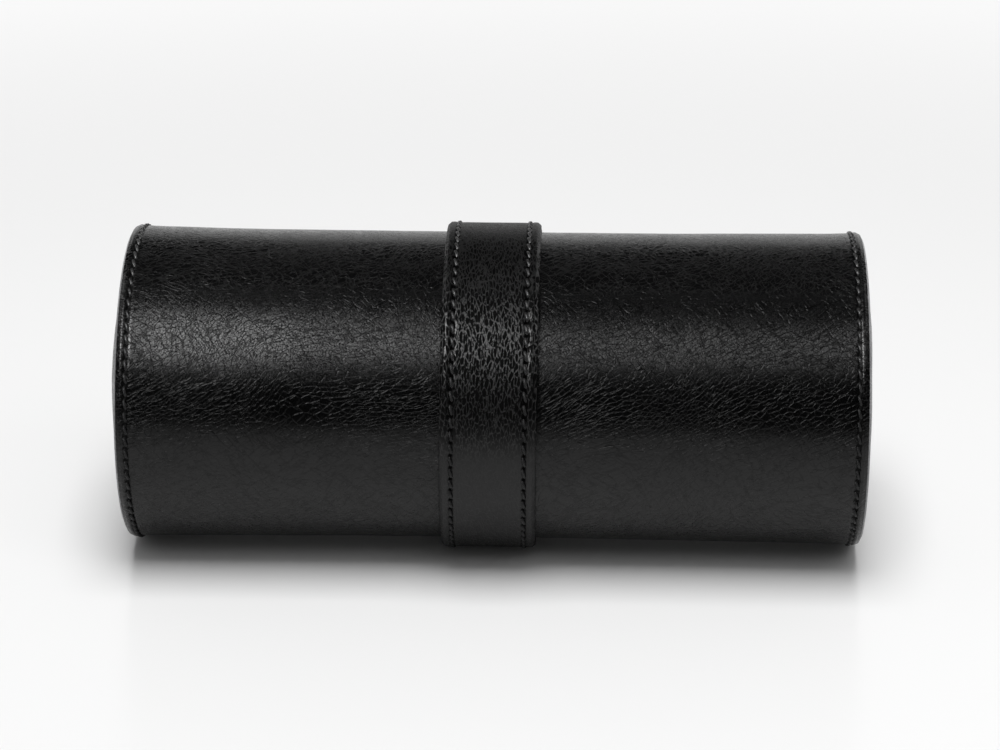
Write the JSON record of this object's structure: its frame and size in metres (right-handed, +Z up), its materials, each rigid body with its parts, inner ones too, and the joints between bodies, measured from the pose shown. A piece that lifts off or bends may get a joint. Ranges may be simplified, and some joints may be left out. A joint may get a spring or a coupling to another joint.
{
  "type": "jewelry roll case",
  "caption": "Cylindrical leather jewelry roll with a folding front flap, a closing strap round its middle, domed padded ends and cushions in divided bays.",
  "frame": {"origin": "centre of the underside at the surface it stands on", "axes": "+X along the roll, +Y to the back, +Z up; the viewer is at -Y"},
  "size_m": [0.2108, 0.091, 0.0901],
  "materials": {
    "roll_leather": "black pebbled leather, semi-gloss",
    "strap_leather": "black pebbled leather, semi-gloss, painted edges",
    "lining_suede": "grey microsuede",
    "cushion_suede": "grey microsuede",
    "board": "stiff black board",
    "foam": "soft foam",
    "thread": "black waxed thread",
    "magnet": "nickel-plated"
  },
  "bodies": {
    "case": {"cradle_board": "board", "cradle_lining": "lining_suede", "cushion_left": "cushion_suede", "cushion_middle": "cushion_suede", "cushion_right": "cushion_suede", "divider_board_left": "board", "divider_board_right": "board", "divider_suede_left": "lining_suede", "divider_suede_right": "lining_suede", "end_board_left": "board", "end_board_right": "board", "end_leather_left": "roll_leather", "end_leather_right": "roll_leather", "end_lining_left": "lining_suede", "end_lining_right": "lining_suede", "end_pad_left": "foam", "end_pad_right": "foam", "hinge_web": "roll_leather", "keeper_magnet": "magnet", "lip_binding": "roll_leather", "strap_rear_leather": "strap_leather", "strap_rear_lining": "strap_leather", "strap_rear_thread": "thread", "wrap_leather": "roll_leather", "wrap_pad": "foam", "wrap_thread": "thread"},
    "flap_upper": {"flap_upper_board": "board", "flap_upper_leather": "roll_leather", "flap_upper_lining": "lining_suede", "flap_upper_thread": "thread", "fold_web": "roll_leather", "strap_upper_leather": "strap_leather", "strap_upper_lining": "strap_leather", "strap_upper_thread": "thread"},
    "flap_lower": {"flap_lower_board": "board", "flap_lower_leather": "roll_leather", "flap_lower_lining": "lining_suede", "flap_lower_thread": "thread", "strap_lower_leather": "strap_leather", "strap_lower_lining": "strap_leather", "strap_lower_thread": "thread"},
    "strap_tab": {"tab_leather": "strap_leather", "tab_lining": "strap_leather", "tab_magnet": "magnet", "tab_thread": "thread"}
  },
  "joints": [
    {"name": "flap_hinge", "type": "hinge", "parent": "case", "child": "flap_upper", "pos_m": [0, 0.01749, 0.08388], "axis": [-1, 0, 0], "range_deg": [0, 90], "deforming": ["hinge_web"]},
    {"name": "flap_fold", "type": "hinge", "parent": "flap_upper", "child": "flap_lower", "pos_m": [0, -0.04041, 0.05931], "axis": [-1, 0, 0], "range_deg": [0, 54], "deforming": ["fold_web"]},
    {"name": "tab_peel", "type": "hinge", "parent": "flap_lower", "child": "strap_tab", "pos_m": [0, -0.01608, 0.00204], "axis": [-1, 0, 0], "range_deg": [0, 75]}
  ],
  "couplings": [
    {"joint": "flap_fold", "follows": "flap_hinge", "ratio": 0.6}
  ]
}
